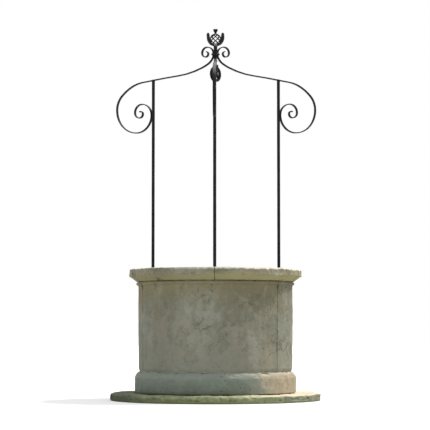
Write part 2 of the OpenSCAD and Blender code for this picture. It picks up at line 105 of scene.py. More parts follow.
def combine(tree, operation, first, second):
    """One sum with two numbers."""
    return add_node(tree, "Math", {0: first, 1: second}, operation=operation).outputs[0]


def times(tree, first, second):
    return combine(tree, "MULTIPLY", first, second)


def new_material(name, roughness, metallic=0, specular=0.5):
    """A material, its node tree and its Principled shader."""
    material = bpy.data.materials.new(name)
    material.use_nodes = True
    shader = material.node_tree.nodes["Principled BSDF"]
    for socket, value in (("Roughness", roughness), ("Metallic", metallic), ("Specular IOR Level", specular)):
        shader.inputs[socket].default_value = value
    return material, material.node_tree, shader


camera_data = bpy.data.cameras.new("camera")
camera_data.sensor_width = SENSOR_WIDTH
camera_data.lens = FOCAL_PIXELS * SENSOR_WIDTH / PICTURE_PIXELS
camera = add_object("camera", camera_data)
camera.location = (*on_circle(CAMERA_DISTANCE, CAMERA_BEARING - 90), CAMERA_HEIGHT)
camera.rotation_euler = (math.radians(90 + CAMERA_PITCH), 0, math.radians(CAMERA_BEARING + CAMERA_YAW))
bpy.context.scene.camera = camera
bpy.context.scene.view_settings.view_transform = "Standard"

floor = add_shape(bpy.ops.mesh.primitive_plane_add, "floor", size=FLOOR_SIZE)
floor_material, tree, shader = new_material("pale_floor", 0.9, specular=0.1)
shader.inputs["Base Color"].default_value = (0.62, 0.62, 0.61, 1)
shader.inputs["Emission Color"].default_value = (1, 1, 1, 1)
ray = add_node(tree, "LightPath").outputs
seen = times(tree, ray["Is Camera Ray"], FLOOR_GLOW)
tree.links.new(seen, shader.inputs["Emission Strength"])
floor.data.materials.append(floor_material)

world = bpy.data.worlds.new("soft_sky")
bpy.context.scene.world = world
world.use_nodes = True
tree = world.node_tree
tree.nodes.clear()
ray = add_node(tree, "LightPath").outputs
seen = ray["Is Camera Ray"]
for kind in ("Is Glossy Ray", "Is Transmission Ray"):
    seen = combine(tree, "MAXIMUM", seen, ray[kind])
sky = add_node(tree, "Background", {"Color": (0.96, 0.98, 1, 1), "Strength": SKY_STRENGTH})
backdrop = add_node(tree, "Background", {"Color": (1, 1, 1, 1), "Strength": 1})
mixed = add_node(tree, "MixShader", {0: seen, 1: sky.outputs[0], 2: backdrop.outputs[0]})
add_node(tree, "OutputWorld", {"Surface": mixed.outputs[0]})

sun_data = bpy.data.lights.new("warm_sun", "SUN")
sun_data.energy = SUN_STRENGTH
sun_data.angle = SUN_WIDTH
sun_data.color = (1, 0.95, 0.86)
out, up = on_circle(1, SUN_ELEVATION)
towards_sun = Vector((*on_circle(out, SUN_BEARING), up))
add_object("warm_sun", sun_data).rotation_euler = towards_sun.to_track_quat("Z", "Y").to_euler()


# Base slab
# A round slab of limestone, cut with the shaft's hole through its middle and laid flat on the ground.
# Its rim is worn round and broken, and moss has grown over the rim from below. Its top on the right is
# painted pale cream as sunlight.

SHAFT_R = 0.4
SLAB_SIDES = 300
SLAB_RIM_ROUND = 0.014
SLAB_RIM_WORN = 0.06
SLAB_CHIPPED = 0.05
WELD_DISTANCE = 0.00002
SMOOTH_ANGLE = math.radians(50)
PIT_COLOUR = paint(66, 62, 48)


def select_only(*things):
    """Selects these objects alone and makes the first one active."""
    for thing in list(bpy.context.selected_objects):
        thing.select_set(False)
    for thing in things:
        thing.select_set(True)
    bpy.context.view_layer.objects.active = things[0]


def end_edit(weld=False):
    """Leaves edit mode with all faces turned outwards, and with doubled points merged if weld is set."""
    bpy.ops.mesh.select_all(action="SELECT")
    if weld:
        bpy.ops.mesh.remove_doubles(threshold=WELD_DISTANCE)
    bpy.ops.mesh.normals_make_consistent(inside=False)
    bpy.ops.object.mode_set(mode="OBJECT")


def turned_ring(name, outline, sides, hollow=True):
    """A closed ring, made by drawing a circle round an outline of (radius, height)."""
    radius, height = outline[0]
    ring = add_shape(bpy.ops.mesh.primitive_circle_add, name, vertices=sides, radius=radius,
                     fill_type="NOTHING" if hollow else "NGON")
    bpy.ops.object.mode_set(mode="EDIT")
    bpy.ops.transform.translate(value=(0, 0, height))
    for next_radius, next_height in outline[1:] + (outline[:1] if hollow else []):
        widen = next_radius / radius
        bpy.ops.mesh.extrude_region_move(TRANSFORM_OT_translate={"value": (0, 0, next_height - height)})
        bpy.ops.transform.resize(value=(widen, widen, 1), center_override=(0, 0, 0))
        radius, height = next_radius, next_height
    end_edit(weld=hollow)
    return ring


def close_outline(corners, longest=0.02, fine_from=9, fine=0.007):
    """A closed outline through the corners, with more points near the rim."""
    points = []
    for (r, z), (next_r, next_z) in zip(corners, corners[1:] + corners[:1]):
        length = math.dist((r, z), (next_r, next_z))
        steps = max(1, math.ceil(length / (fine if min(r, next_r) > fine_from else longest)))
        points += [(r + (next_r - r) * i / steps, z + (next_z - z) * i / steps) for i in range(steps)]
    return points


def lifted(outline, height):
    return [(r, height + z) for r, z in outline]


def rounding(centre, radius_r, radius_z, start, end, steps):
    """Points (radius, height) on an arc about centre, from one angle to another in degrees."""
    points = [on_circle(1, start + (end - start) * i / steps) for i in range(steps + 1)]
    return [(centre[0] + radius_r * x, centre[1] + radius_z * y) for x, y in points]


def apply_modifier(thing, kind, **settings):
    select_only(thing)
    modifier = thing.modifiers.new(kind.lower(), kind)
    for key, value in settings.items():
        setattr(modifier, key, value)
    bpy.ops.object.modifier_apply(modifier=modifier.name)


def displace(thing, texture, strength, middle=0.5, group=""):
    """Moves a surface by a relief texture; middle is the tone that leaves it in place."""
    apply_modifier(thing, "DISPLACE", texture=texture, strength=strength, mid_level=middle,
                   vertex_group=group)


def mark_points(thing, group_name, chosen):
    """Puts the points for which chosen(point) is true in a vertex group."""
    group = thing.vertex_groups.new(name=group_name)
    group.add([v.index for v in thing.data.vertices if chosen(v.co)], 1, "REPLACE")


def relief_texture(name, size, depth=2, ramp=None):
    """Solid noise that a surface is moved by. A ramp (from, to) cuts it off below from."""
    texture = bpy.data.textures.new(name, "CLOUDS")
    texture.noise_scale = size
    texture.noise_depth = depth
    if ramp:
        texture.use_color_ramp = True
        first, last = texture.color_ramp.elements
        first.position, last.position = ramp
        first.color = (0, 0, 0, 1)
        last.color = (1, 1, 1, 1)
    return texture


hand_dressed = relief_texture("hand_dressed", 0.16)
weather_worn = relief_texture("weather_worn", 0.035, 4)
frost_pits = relief_texture("frost_pits", 0.02, 2, (0.62, 0.78))
chipped = relief_texture("chipped", 0.045, 2, (0.52, 0.7))


def finish_piece(piece, node, body, material):
    """Gives a piece its finish and its body, and hides the frame's part of that node."""
    piece.data.materials.clear()
    piece.data.materials.append(material)
    select_only(piece)
    bpy.ops.object.shade_smooth_by_angle(angle=SMOOTH_ANGLE)
    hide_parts(node)
    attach(piece, body)


def mix_colours(tree, factor, first, second, mode="MIX"):
    """Two colours mixed."""
    return add_node(tree, "Mix", {0: factor, 6: first, 7: second}, data_type="RGBA",
                    blend_type=mode).outputs[2]


def soft_step(tree, value, low, high):
    """From 0 at low to 1 at high, with soft ends. High may be the lower one."""
    return add_node(tree, "MapRange", {"Value": value, "From Min": low, "From Max": high},
                    interpolation_type="SMOOTHSTEP").outputs["Result"]


def object_place(tree):
    return add_node(tree, "TexCoord").outputs["Object"]


def along_axis(tree, vector, axis):
    return add_node(tree, "SeparateXYZ", {0: vector}).outputs[axis]


def facing_up(tree, low, high):
    """From 0 to 1 where the surface looks up."""
    facing = add_node(tree, "NewGeometry").outputs["Normal"]
    return soft_step(tree, along_axis(tree, facing, "Z"), low, high)


def noise(tree, scale, detail, rough=0.5, stretch=(1, 1, 1), offset=(0, 0, 0)):
    """Noise on the object's own coordinates, drawn out along an axis by a small stretch."""
    mapped = add_node(tree, "Mapping", {"Vector": object_place(tree), "Location": offset, "Scale": stretch})
    inputs = {"Vector": mapped.outputs[0], "Scale": scale, "Detail": detail, "Roughness": rough}
    return add_node(tree, "TexNoise", inputs).outputs["Fac"]


def start_group(name, inputs, outputs):
    """A node group with its inputs (name and value) and outputs (names)."""
    group = bpy.data.node_groups.new(name, "ShaderNodeTree")
    for label, value in inputs.items():
        kind = "NodeSocketColor" if isinstance(value, tuple) else "NodeSocketFloat"
        group.interface.new_socket(label, in_out="INPUT", socket_type=kind).default_value = value
    for label in outputs:
        kind = "NodeSocketColor" if label == "Color" else "NodeSocketFloat"
        group.interface.new_socket(label, in_out="OUTPUT", socket_type=kind)
    return group, group.nodes.new("NodeGroupInput").outputs, group.nodes.new("NodeGroupOutput").inputs


def fill_group(tree, name, inputs):
    return add_node(tree, "Group", inputs, node_tree=bpy.data.node_groups[name]).outputs


def add_relief(tree, shader, height, strength, depth):
    """Lets the light catch a fine relief that the mesh doesn't have."""
    bump = add_node(tree, "Bump", {"Height": height, "Strength": strength, "Distance": depth})
    tree.links.new(bump.outputs[0], shader.inputs["Normal"])


# Limestone as it lies: pale and deep tones in clouds, a blush of iron in the bed, drawn down by rain
tree, given, result = start_group("stone_tones", {
    "Pale": paint(128, 128, 112), "Deep": paint(104, 106, 92), "Blush": paint(138, 120, 104),
    "Blush Amount": 0.6,
}, ["Color"])
clouds = noise(tree, 4.5, 6, 0.62, (1, 1, 0.8))
streaks = noise(tree, 9, 6, 0.62, (1, 1, 0.32), (3, 1, 0))
blush = noise(tree, 6.5, 7, 0.68, (1, 1, 0.7), (7, 2, 5))
blots = noise(tree, 15, 9, 0.72, (1, 1, 0.7), (2, 9, 4))
mottle = noise(tree, 34, 10, 0.86, (1, 1, 0.85), (1, 8, 2))
blot_mask = times(tree, soft_step(tree, blots, 0.49, 0.6), 0.55)
streak_mask = times(tree, soft_step(tree, streaks, 0.46, 0.72), 0.22)
blush_mask = times(tree, soft_step(tree, blush, 0.44, 0.7), given["Blush Amount"])
lightness = add_node(tree, "MapRange", {"Value": mottle, "To Min": 0.4, "To Max": 1.6})
colour = mix_colours(tree, soft_step(tree, clouds, 0.36, 0.64), given["Pale"], given["Deep"])
colour = mix_colours(tree, blot_mask, colour, given["Deep"])
colour = mix_colours(tree, streak_mask, colour, given["Deep"], "MULTIPLY")
colour = mix_colours(tree, streak_mask, colour, given["Deep"])
colour = mix_colours(tree, blush_mask, colour, given["Blush"])
colour = mix_colours(tree, 1, colour, lightness.outputs["Result"], "MULTIPLY")
tree.links.new(colour, result["Color"])

# Growth, stains and painted sunlight in a band of height, ragged at their edge
tree, given, result = start_group(
    "growth_and_painted_sun_band", {"Foot": 0, "Head": 0.2, "Ragged": 0.1, "Patch Scale": 9, "Amount": 1}, ["Mask"])
shift = combine(tree, "SUBTRACT", noise(tree, given["Patch Scale"], 7, 0.65), 0.5)
shift = times(tree, times(tree, shift, given["Ragged"]), 4)
height = combine(tree, "ADD", along_axis(tree, object_place(tree), "Z"), shift)
band = times(tree, soft_step(tree, height, given["Foot"], given["Head"]), given["Amount"])
tree.links.new(band, result["Mask"])

# Small dark pits and lichen specks, here and there
tree, given, result = start_group("specks", {"Scale": 40, "Size": 0.25, "Spread": 0.55}, ["Mask"])
cells = add_node(tree, "TexVoronoi", {"Vector": object_place(tree), "Scale": given["Scale"]})
dots = soft_step(tree, cells.outputs["Distance"], given["Size"], 0)
gathered = soft_step(tree, noise(tree, 7, 3), given["Spread"], 0.75)
tree.links.new(times(tree, dots, gathered), result["Mask"])

# Hair cracks that wander and stop, gathered in a few places
tree, given, result = start_group("cracks", {"Scale": 9, "Width": 0.03, "Spread": 0.58}, ["Mask"])
place = object_place(tree)
wobble = add_node(tree, "TexNoise", {"Vector": place, "Scale": 16, "Detail": 6, "Roughness": 0.7})
wandering = add_node(tree, "VectorMath",
                     {0: wobble.outputs["Color"], 1: (0.11, 0.11, 0.11), 2: place}, operation="MULTIPLY_ADD")
edges = add_node(tree, "TexVoronoi", {"Vector": wandering.outputs[0], "Scale": given["Scale"]},
                 feature="DISTANCE_TO_EDGE")
lines = soft_step(tree, edges.outputs["Distance"], given["Width"], 0)
gathered = soft_step(tree, noise(tree, 4.2, 4, 0.6, offset=(4, 6, 1)), given["Spread"], 0.68)
tree.links.new(times(tree, lines, gathered), result["Mask"])

# The stone's fine relief under the light
tree, given, result = start_group("stone_grain", {"Coarse": 45}, ["Height"])
fine = times(tree, noise(tree, 260, 4), 0.25)
tree.links.new(combine(tree, "ADD", noise(tree, given["Coarse"], 8, 0.7), fine), result["Height"])


def across_stone(tree, low, high):
    """From 0 at one X to 1 at another, ragged, for stains and patches of painted sunlight that keep to one
    side.
    """
    drift = combine(tree, "SUBTRACT", noise(tree, 7, 6, 0.65, offset=(9, 3, 6)), 0.5)
    drift = times(tree, drift, 0.5)
    return soft_step(tree, combine(tree, "ADD", along_axis(tree, object_place(tree), "X"), drift), low, high)


def stone_material(name, tones, blush_amount, growths_and_painted_sun, painted_sun_on_tops, crack_spread, pit_spread=0.54):
    """Weathered limestone in a pale, a deep and a blush tone. Each band of growth, stain or painted sunlight
    is (colour, foot, head, ragged, patch scale, amount, side), and the painted sunlight on what faces up is
    (colour, amount, side, foot). A side runs from one X to another, and cracks and pits spread more with a
    lower number."""
    material, tree, shader = new_material(name, 0.88, specular=0.25)
    stone = dict(zip(("Pale", "Deep", "Blush"), (paint(*tone) for tone in tones)))
    colour = fill_group(tree, "stone_tones", {**stone, "Blush Amount": blush_amount})["Color"]
    for tint, foot, head, ragged, patch_scale, amount, side in growths_and_painted_sun:
        band = {"Foot": foot, "Head": head, "Ragged": ragged, "Patch Scale": patch_scale, "Amount": amount}
        mask = fill_group(tree, "growth_and_painted_sun_band", band)["Mask"]
        if side:
            mask = times(tree, mask, across_stone(tree, *side))
        colour = mix_colours(tree, mask, colour, paint(*tint))
    # Painted sunlight: what faces up is painted paler, on one side only where a side is given.
    tint, amount, side, foot = painted_sun_on_tops
    mask = times(tree, facing_up(tree, 0.45, 0.95), amount)
    if side:
        mask = times(tree, mask, across_stone(tree, *side))
    height = along_axis(tree, object_place(tree), "Z")
    mask = times(tree, mask, soft_step(tree, height, foot, foot + 0.012))
    colour = mix_colours(tree, mask, colour, paint(*tint))
    pits = fill_group(tree, "specks", {"Scale": 38, "Size": 0.3, "Spread": pit_spread})["Mask"]
    small_pits = fill_group(tree, "specks", {"Scale": 78, "Size": 0.36, "Spread": 0.4})["Mask"]
    split = fill_group(tree, "cracks", {"Scale": 9, "Width": 0.035, "Spread": crack_spread})["Mask"]
    for mask, amount in ((pits, 0.85), (small_pits, 0.62), (split, 0.72)):
        colour = mix_colours(tree, times(tree, mask, amount), colour, PIT_COLOUR)
    tree.links.new(colour, shader.inputs["Base Color"])
    relief = fill_group(tree, "stone_grain", {"Coarse": 45})["Height"]
    relief = combine(tree, "SUBTRACT", combine(tree, "SUBTRACT", relief, pits), split)
    add_relief(tree, shader, relief, 0.55, 0.004)
    return material


slab_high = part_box("base_slab")[1]
slab_r = slab_high.x
slab_top = slab_high.z
slab_outline = close_outline(
    [(SHAFT_R, 0), (slab_r - SLAB_RIM_ROUND / 2, 0), (slab_r, SLAB_RIM_ROUND / 2)]
    + rounding((slab_r - SLAB_RIM_ROUND, slab_top - SLAB_RIM_ROUND), SLAB_RIM_ROUND, SLAB_RIM_ROUND, 0, 90, 4)
    + [(slab_r - SLAB_RIM_WORN, slab_top), (SHAFT_R, slab_top)],
    fine_from=slab_r - SLAB_RIM_WORN - 0.001,
)
slab = turned_ring("slab", slab_outline, SLAB_SIDES)
mark_points(slab, "arris", lambda p: math.hypot(p.x, p.y) > slab_r - SLAB_CHIPPED and p.z > SLAB_RIM_ROUND)
apply_modifier(slab, "SUBSURF", subdivision_type="SIMPLE", levels=1, render_levels=1)
mark_points(slab, "above_ground", lambda p: p.z > 0.002)
displace(slab, hand_dressed, 0.012, 0.7, "above_ground")
displace(slab, weather_worn, 0.008, 0.6, "above_ground")
displace(slab, chipped, -0.012, 0, "arris")
mossy_slab_painted_sun = stone_material(
    "mossy_slab_painted_sun", ((142, 142, 124), (106, 110, 92), (146, 138, 110)), 0.5,
    [((146, 154, 116), 0.066, 0.034, 0.014, 26, 0.8, (0.55, 0.2)),
     ((84, 94, 58), 0.05, 0.02, 0.024, 30, 0.6, (0.5, 0.1)),
     ((70, 76, 60), 0.075, 0.04, 0.035, 26, 0.85, (-0.4, -0.62))],
    # Painted sunlight: the slab's upward faces on the right are painted pale cream.
    ((212, 203, 180), 0.95, (0.02, 0.36), slab_top - 0.016),
    crack_spread=0.5, pit_spread=0.48,
)
finish_piece(slab, "base_slab", "root", mossy_slab_painted_sun)


# Plinth
# Two half rings of limestone bedded on the slab, with a rounded shoulder up to the wall's face.
# Rain splashes keep them damp, with blue-green algae over the left; the pale pinkish stone on the right is
# painted sunlight.

PLINTH_SHOULDER = 0.038
WALL_FOOT_R = 0.51
WALL_FOOT_WEAR = 0.006
WALL_IN_R = SHAFT_R + 0.006
COPING_R = 0.573
JOINT_WIDTH = 0.005
STONE_SIDES = 192
STONE_STEP = 0.014
STONE_EASE = 0.002
CUT_THRESHOLD = 0.00001


def own_copy(thing, name):
    twin = thing.copy()
    twin.data = thing.data.copy()
    twin.name = name
    bpy.context.scene.collection.objects.link(twin)
    return twin


def cut_away(thing, point, *cuts):
    """Cuts a solid along planes through a point and closes the cuts. A cut is (normal, front): what lies in
    front of the plane goes, or else what lies behind it."""
    select_only(thing)
    bpy.ops.object.mode_set(mode="EDIT")
    for normal, front in cuts:
        bpy.ops.mesh.select_all(action="SELECT")
        bpy.ops.mesh.bisect(plane_co=point, plane_no=normal, use_fill=True, clear_inner=not front,
                            clear_outer=front, threshold=CUT_THRESHOLD)
    bpy.ops.object.mode_set(mode="OBJECT")


def ring_course(node, outline, count, first_joint, arris, wear, material, bores=()):
    """All stones of a course, cut from one ring, bored, eased and weathered. Wear is the depth of the
    dressing's waves, the rough skin, the frost pits and the chips."""
    uneven, rough, pit, chip = wear
    half_joint = JOINT_WIDTH / 2 / COPING_R
    ring = turned_ring(node + "_ring", outline, STONE_SIDES)
    mark_points(ring, "arris", arris)
    for i in range(count):
        stone = own_copy(ring, f"{node.replace('_stone', '')}_{i + 1}_dressed")
        start = math.radians(first_joint + 360 / count * i) + half_joint
        end = math.radians(first_joint + 360 / count * (i + 1)) - half_joint
        cut_away(stone, (0, 0, 0), ((-math.sin(start), math.cos(start), 0), False),
                 ((-math.sin(end), math.cos(end), 0), True))
        if i + 1 in bores:
            apply_modifier(stone, "BOOLEAN", operation="DIFFERENCE", solver="EXACT", object=bores[i + 1])
        apply_modifier(stone, "BEVEL", width=STONE_EASE, segments=2, limit_method="ANGLE",
                       angle_limit=math.radians(42))
        apply_modifier(stone, "SUBSURF", subdivision_type="SIMPLE", levels=1, render_levels=1)
        displace(stone, hand_dressed, uneven)
        displace(stone, weather_worn, rough)
        displace(stone, frost_pits, -pit, 0)
        displace(stone, chipped, -chip, 0, "arris")
        finish_piece(stone, f"{node}_{i + 1}", "root", material)
    bpy.data.objects.remove(ring)


plinth_low, plinth_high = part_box("plinth_stone_1")
plinth_r = plinth_high.x
plinth_foot = plinth_low.z
plinth_top = plinth_high.z
shoulder_in_r = WALL_FOOT_R - WALL_FOOT_WEAR + 0.001
shoulder_points = []
for i in range(9):
    x, y = on_circle(1, 90 * i / 8)
    shoulder_points.append((
        shoulder_in_r + (plinth_r - shoulder_in_r) * (1 - i / 8 + x) / 2,
        plinth_top - PLINTH_SHOULDER + PLINTH_SHOULDER * (i / 8 + y) / 2,
    ))
plinth_outline = close_outline(
    [(WALL_IN_R, plinth_foot), (plinth_r, plinth_foot)] + shoulder_points + [(WALL_IN_R, plinth_top)],
    STONE_STEP,
)
damp_plinth_painted_sun = stone_material(
    "damp_plinth_painted_sun", ((174, 165, 146), (144, 134, 115), (164, 146, 126)), 0.6,
    # The blue-green damp tone covers all but the right, where the pale warm stone tones are left bare as
    # painted sunlight.
    [((118, 129, 121), -2, -1, 0, 5, 0.85, (0.46, 0.16)),
     ((98, 106, 96), 0.17, 0.06, 0.06, 9, 0.5, (0.34, 0.1)),
     ((84, 94, 70), 0.085, 0.055, 0.02, 18, 0.5, (0.3, 0.05))],
    # Painted sunlight: the shoulder's upward faces on the right are painted paler.
    ((196, 190, 170), 0.45, (-0.1, 0.3), -1),
    crack_spread=0.52, pit_spread=0.44,
)
ring_course("plinth_stone", plinth_outline, 2, 0,
            lambda p: p.z > plinth_top - 0.03 and math.hypot(p.x, p.y) > 0.5,
            (0.006, 0.004, 0.003, 0.006), damp_plinth_painted_sun)


# Wall
# Three tall stones, hollowed to the shaft and set on end, with a bead and a cove worked on their heads.
# Rain has stained them: olive moss under the coping, brown and grey patches, dark pits.

WALL_WEAR_HEIGHT = 0.018
WALL_TOP_R = 0.513
WALL_STEP = 0.016
BEAD_R = 0.526
BEAD_ROUND = 0.011
COVE_HEIGHT = 0.018

wall_low, wall_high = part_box("wall_stone_1")
wall_foot = wall_low.z
wall_top = wall_high.z
bead_foot = wall_top - 2 * BEAD_ROUND
cove_width = BEAD_R - BEAD_ROUND - WALL_TOP_R
wall_outline = close_outline(
    [(WALL_IN_R, wall_foot), (WALL_FOOT_R - WALL_FOOT_WEAR, wall_foot),
     (WALL_FOOT_R, wall_foot + WALL_WEAR_HEIGHT)]
    + rounding((WALL_TOP_R + cove_width, bead_foot - COVE_HEIGHT), cove_width, COVE_HEIGHT, 180, 90, 5)
    + rounding((BEAD_R - BEAD_ROUND, bead_foot + BEAD_ROUND), BEAD_ROUND, BEAD_ROUND, -90, 90, 8)
    + [(WALL_IN_R, wall_top)],
    WALL_STEP,
)
stained_wall = stone_material(
    "stained_wall", ((138, 139, 127), (112, 113, 99), (125, 117, 95)), 0.6,
    [((138, 132, 96), wall_top - 0.13, wall_top + 0.01, 0.05, 8, 0.75, None),
     ((108, 101, 80), wall_top - 0.2, wall_top - 0.08, 0.22, 9, 0.38, None),
     ((120, 126, 116), wall_foot + 0.26, wall_foot - 0.05, 0.14, 6, 0.6, (0.35, -0.1)),
     ((110, 113, 101), -2, -1, 0, 5, 0.8, (0.36, 0.46)),
     ((100, 93, 70), wall_top - 0.22, wall_top - 0.16, 0.3, 17, 0.42, (-0.2, 0.2)),
     ((142, 139, 127), wall_foot + 0.3, wall_foot + 0.24, 0.62, 10, 0.3, None)],
    # Painted sunlight: what faces up is painted paler all round.
    ((166, 162, 140), 0.4, None, -1),
    crack_spread=0.56, pit_spread=0.47,
)
ring_course("wall_stone", wall_outline, 3, -38,
            lambda p: p.z > wall_top - 0.03 and math.hypot(p.x, p.y) > 0.52,
            (0.007, 0.003, 0.0035, 0.004), stained_wall)


# Coping
# Five stones with a plain fascia over a splay, each pair butted over mortar; three are bored for the posts.
# The upper arris is knocked and worn round. The top is painted pale as sunlight, and the arris near white on
# the right as a painted highlight.

COPING_FOOT_R = 0.524
SPLAY_HEIGHT = 0.036
ARRIS_WEAR = 0.007
SOCKET_R = 0.017
SOCKET_DEPTH = 0.062
POST_CIRCLE_R = 0.495
BEARINGS = {"front": -90, "right": 30, "left": 150}

coping_low, coping_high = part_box("coping_stone_1")
coping_foot = coping_low.z
coping_top = coping_high.z
coping_outline = close_outline(
    [(SHAFT_R, coping_foot), (COPING_FOOT_R, coping_foot), (COPING_R, coping_foot + SPLAY_HEIGHT)]
    + rounding((COPING_R - ARRIS_WEAR, coping_top - ARRIS_WEAR), ARRIS_WEAR, ARRIS_WEAR, 0, 90, 3)
    + rounding((SHAFT_R + ARRIS_WEAR, coping_top - ARRIS_WEAR), ARRIS_WEAR, ARRIS_WEAR, 90, 180, 3),
    STONE_STEP,
)
coping_painted_sun = stone_material(
    "coping_painted_sun", ((146, 144, 129), (113, 112, 97), (138, 128, 106)), 0.5,
    [((150, 144, 104), coping_foot + 0.06, coping_foot + 0.02, 0.02, 12, 0.8, None),
     ((112, 110, 92), coping_top + 0.01, coping_top - 0.05, 0.05, 16, 0.35, (0.1, -0.5)),
     # Painted highlight of sunlight: a near-white band along the top arris on the right.
     ((238, 234, 218), coping_top - 0.016, coping_top - 0.004, 0.008, 26, 0.85, (-0.45, 0.25))],
    # Painted sunlight: the coping's upward faces are painted pale all round.
    ((184, 180, 164), 0.95, None, coping_top - 0.018),
    crack_spread=0.58,
)
drills = []
bores = {}
for side, stones in {"front": (1, 5), "right": (2,), "left": (4,)}.items():
    place = (*on_circle(POST_CIRCLE_R, BEARINGS[side]), coping_top)
    drill = add_shape(bpy.ops.mesh.primitive_cylinder_add, f"{side}_drill", vertices=40, radius=SOCKET_R,
                      depth=2 * SOCKET_DEPTH, location=place)
    drills.append(drill)
    bores.update(dict.fromkeys(stones, drill))
ring_course("coping_stone", coping_outline, 5, -90,
            lambda p: math.hypot(p.x, p.y) > COPING_R - 0.02 and p.z > coping_foot + SPLAY_HEIGHT - 0.004,
            (0.005, 0.003, 0.002, 0.006), coping_painted_sun, bores)
for drill in drills:
    bpy.data.objects.remove(drill)


# Mortar
# Lime mortar in the beds and the upright joints, raked back from the face. The coping's mortar is painted
# dark as the shade under the coping, and the wall's joints are painted pale to lift their shade.
# It keeps the frame's own shape.

def mortar_material(name, dark, pale):
    """Gritty mortar in two tones."""
    material, tree, shader = new_material(name, 0.95, specular=0.1)
    tone = soft_step(tree, noise(tree, 60, 6, 0.7), 0.35, 0.65)
    tree.links.new(mix_colours(tree, tone, paint(*dark), paint(*pale)), shader.inputs["Base Color"])
    add_relief(tree, shader, fill_group(tree, "stone_grain", {"Coarse": 90})["Height"], 0.6, 0.003)
    return material


for node, mortar in (
    ("plinth_mortar", mortar_material("grey_mortar", (112, 110, 96), (146, 143, 126))),
    # Painted light: the wall's raked joints are painted pale to lift their shade.
    ("wall_mortar", mortar_material("mortar_painted_light", (158, 154, 136), (196, 192, 172))),
    # Painted shade: the coping's mortar is dark as the shade under the coping.
    ("coping_mortar", mortar_material("mortar_painted_shade", (84, 80, 58), (122, 116, 88))),
):
    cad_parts[node].data.materials.clear()
    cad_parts[node].data.materials.append(mortar)


# Posts
# Three posts of round wrought bar, each with a tenon that goes up through its arm and is riveted over it.
# They were painted black, long ago, over the marks of the hammer.

POST_R = 0.0105
POST_FOOT = 0.802
POST_TOP = 2.172
POST_SIDES = 24
POST_RUNGS = 34
ARM_SLOPE = 6
BAR_THICKNESS = 0.007
BAR_WIDTH = 0.02
TENON_R = 0.0045
HEAD_R = 0.0085
HEAD_HEIGHT = 0.0035
HEAD_SIDES = 20

# Shallow hammer marks, paint rubbed thin on the high places, and freckles of rust
tree, given, result = start_group(
    "forged_skin", {"Hammer Scale": 60, "Rust Spread": 0.58}, ["Height", "Rubbed", "Rust"])
hammered = add_node(tree, "TexVoronoi",
                    {"Vector": object_place(tree), "Scale": given["Hammer Scale"], "Smoothness": 0.9},
                    feature="SMOOTH_F1")
grit = times(tree, noise(tree, 420, 3, 0.6, offset=(2, 7, 3)), 0.18)
rubbed = soft_step(tree, noise(tree, 26, 6, 0.65, (1, 1, 0.4)), 0.42, 0.68)
rust = soft_step(tree, noise(tree, 34, 8, 0.72, offset=(5, 1, 4)), given["Rust Spread"], 0.72)
tree.links.new(combine(tree, "ADD", hammered.outputs["Distance"], grit), result["Height"])
tree.links.new(rubbed, result["Rubbed"])
tree.links.new(rust, result["Rust"])


def metal_material(name, tones, roughness, metallic, hammer_scale, rust_spread, depth=0.0012, specular=0.4,
                   painted_sky_sheen=None):
    """Metal in a deep and a rubbed tone with freckles of rust. A grey given for its top faces is a painted
    highlight from the sky.
    """
    material, tree, shader = new_material(name, roughness, metallic, specular)
    deep, rubbed, rust = [(*tone, 1) for tone in tones]
    marks = fill_group(tree, "forged_skin", {"Hammer Scale": hammer_scale, "Rust Spread": rust_spread})
    colour = mix_colours(tree, marks["Rubbed"], deep, rubbed)
    colour = mix_colours(tree, marks["Rust"], colour, rust)
    if painted_sky_sheen:
        sky_sheen_mask = times(tree, facing_up(tree, 0.5, 0.95), 0.8)
        colour = mix_colours(tree, sky_sheen_mask, colour, (*painted_sky_sheen, 1))
    tree.links.new(colour, shader.inputs["Base Color"])
    smoother = times(tree, marks["Rubbed"], -0.14)
    rougher = times(tree, marks["Rust"], 0.3)
    dull = combine(tree, "ADD", combine(tree, "ADD", smoother, rougher), roughness)
    tree.links.new(dull, shader.inputs["Roughness"])
    add_relief(tree, shader, marks["Height"], 0.3, depth)
    return material


black_iron = metal_material(
    "black_iron", [(0.0045, 0.0045, 0.0055), (0.01, 0.01, 0.011), (0.036, 0.018, 0.01)], 0.52, 0,
    # Painted highlight: the upward faces are painted grey as sheen from the sky.
    70, 0.62, specular=0.16, painted_sky_sheen=(0.17, 0.17, 0.175),
)


def finish_iron(piece, node, body="root"):
    """Finishes a piece of the painted ironwork."""
    finish_piece(piece, node, body, black_iron)


def move(x, y, z):
    return Matrix.Translation((x, y, z))


def spin(axis, degrees):
    return Matrix.Rotation(math.radians(degrees), 4, axis)


def apply_place(thing, matrix):
    """Puts a piece in place and keeps the place in its mesh."""
    thing.matrix_world = matrix
    select_only(thing)
    bpy.ops.object.transform_apply(location=True, rotation=True, scale=True)


def finish_three(master, part, work):
    """Finishes one copy of a piece of ironwork at each post's bearing."""
    for side, bearing in BEARINGS.items():
        twin = own_copy(master, f"{side}_{part}_{work}")
        apply_place(twin, spin("Z", bearing))
        finish_iron(twin, f"{part}_{side}")
    bpy.data.objects.remove(master)


def join_pieces(pieces, name):
    select_only(*pieces)
    bpy.ops.object.join()
    pieces[0].name = name
    return pieces[0]


def turned_solid(name, outline, sides):
    """A solid drawn up from a disc through an outline of (radius, height)."""
    return turned_ring(name, outline, sides, hollow=False)


def rivet_head(name, radius, height, shank_r, shank_length):
    """A hammered rivet head on its shank, at the origin, pointing up."""
    cap = [(radius * on_circle(1, a)[0], on_circle(height, a)[1]) for a in (0, 20, 40, 60, 78)]
    return turned_solid(name, [(shank_r, -shank_length), (shank_r, 0)] + cap, HEAD_SIDES)


